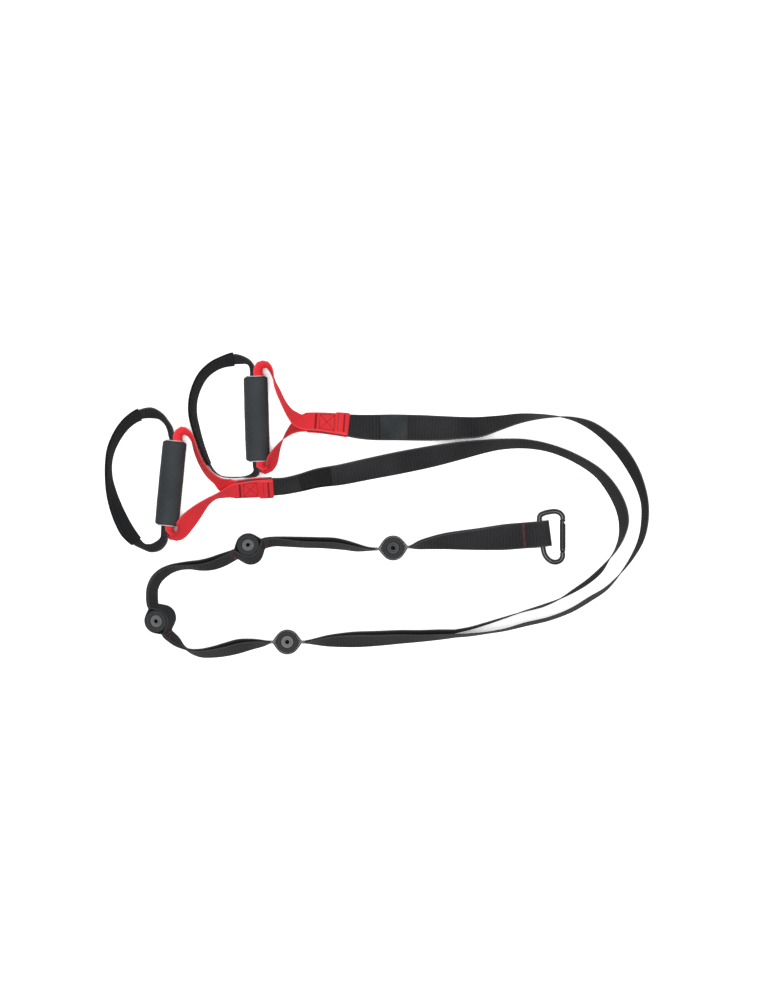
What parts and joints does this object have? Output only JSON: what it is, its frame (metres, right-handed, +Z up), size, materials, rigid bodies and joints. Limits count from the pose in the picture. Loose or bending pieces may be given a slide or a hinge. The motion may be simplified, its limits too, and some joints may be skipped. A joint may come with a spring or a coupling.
{
  "type": "suspension trainer",
  "caption": "Suspension trainer of flat webbing lying on the floor: foam grips on sewn yokes with foot loops, leg straps, an anchor strap with rollers and a snap carabiner.",
  "frame": {"origin": "on the floor, at the middle of the box round the pieces, the leg straps left out", "axes": "+X from the handles to the carabiner, +Y from the anchor strap to the handles' side, +Z up from the floor"},
  "size_m": [0.7898, 0.4442, 0.0489],
  "materials": {
    "black_webbing": "ribbed woven webbing, matte",
    "red_webbing": "ribbed woven webbing, matte, dark red stitching",
    "pad_fabric": "matte padded fabric",
    "grip_foam": "matte foam",
    "tube_plastic": "satin moulded",
    "sleeve_rubber": "matte rubber",
    "core_plastic": "satin moulded",
    "black_metal": "glossy black coating",
    "spring_steel": "bare wire"
  },
  "bodies": {
    "webbing": {"left_yoke": "red_webbing", "right_yoke": "red_webbing", "left_leg_strap": "black_webbing", "right_leg_strap": "black_webbing", "anchor_inner_layer": "black_webbing", "anchor_outer_layer": "black_webbing"},
    "left_grip": {"left_foam_grip": "grip_foam", "left_grip_tube": "tube_plastic"},
    "right_grip": {"right_foam_grip": "grip_foam", "right_grip_tube": "tube_plastic"},
    "left_foot_loop": {"left_foot_strap": "black_webbing", "left_foot_pad": "pad_fabric"},
    "right_foot_loop": {"right_foot_strap": "black_webbing", "right_foot_pad": "pad_fabric"},
    "roller_1": {"roller_1_sleeve": "sleeve_rubber", "roller_1_core": "core_plastic"},
    "roller_2": {"roller_2_sleeve": "sleeve_rubber", "roller_2_core": "core_plastic"},
    "roller_3": {"roller_3_sleeve": "sleeve_rubber", "roller_3_core": "core_plastic"},
    "roller_4": {"roller_4_sleeve": "sleeve_rubber", "roller_4_core": "core_plastic"},
    "carabiner": {"carabiner_body": "black_metal", "gate_rivet": "black_metal", "latch_pin": "black_metal"},
    "gate": {"carabiner_gate": "black_metal", "gate_spring": "spring_steel", "spring_plunger": "black_metal"}
  },
  "joints": [
    {"name": "left_grip_turn", "type": "hinge", "parent": "webbing", "child": "left_grip", "pos_m": [-0.23816, 0.03165, 0.0177], "axis": [0.0968, 0.9953, 0], "continuous": true},
    {"name": "left_foot_swing", "type": "hinge", "parent": "webbing", "child": "left_foot_loop", "pos_m": [-0.23816, 0.03165, 0.0177], "axis": [0.0968, 0.9953, 0], "range_deg": [-30, 30]},
    {"name": "right_grip_turn", "type": "hinge", "parent": "webbing", "child": "right_grip", "pos_m": [-0.11353, 0.12518, 0.0177], "axis": [-0.0294, 0.9996, 0], "continuous": true},
    {"name": "right_foot_swing", "type": "hinge", "parent": "webbing", "child": "right_foot_loop", "pos_m": [-0.11353, 0.12518, 0.0177], "axis": [-0.0294, 0.9996, 0], "range_deg": [-30, 30]},
    {"name": "roller_1_turn", "type": "hinge", "parent": "webbing", "child": "roller_1", "pos_m": [-0.06938, -0.19861, 0.02], "axis": [0, 0, 1], "continuous": true},
    {"name": "roller_2_turn", "type": "hinge", "parent": "webbing", "child": "roller_2", "pos_m": [-0.25353, -0.1654, 0.02454], "axis": [-0.3326, -0.1723, 0.9272], "continuous": true},
    {"name": "roller_3_turn", "type": "hinge", "parent": "webbing", "child": "roller_3", "pos_m": [-0.12405, -0.06376, 0.02427], "axis": [-0.1214, 0.3197, 0.9397], "continuous": true},
    {"name": "roller_4_turn", "type": "hinge", "parent": "webbing", "child": "roller_4", "pos_m": [0.08417, -0.06231, 0.02], "axis": [0, 0, 1], "continuous": true},
    {"name": "carabiner_swing", "type": "hinge", "parent": "webbing", "child": "carabiner", "pos_m": [0.29935, -0.04215, 0.0063], "axis": [-0.1297, 0.9915, 0.0089], "range_deg": [-150, 120]},
    {"name": "gate_pivot", "type": "hinge", "parent": "carabiner", "child": "gate", "pos_m": [0.32998, -0.06475, 0.0042], "axis": [0.0684, 0, 0.9977], "range_deg": [0, 22], "stiffness_Nm_per_rad": 0.05, "springref_deg": -11.46}
  ]
}
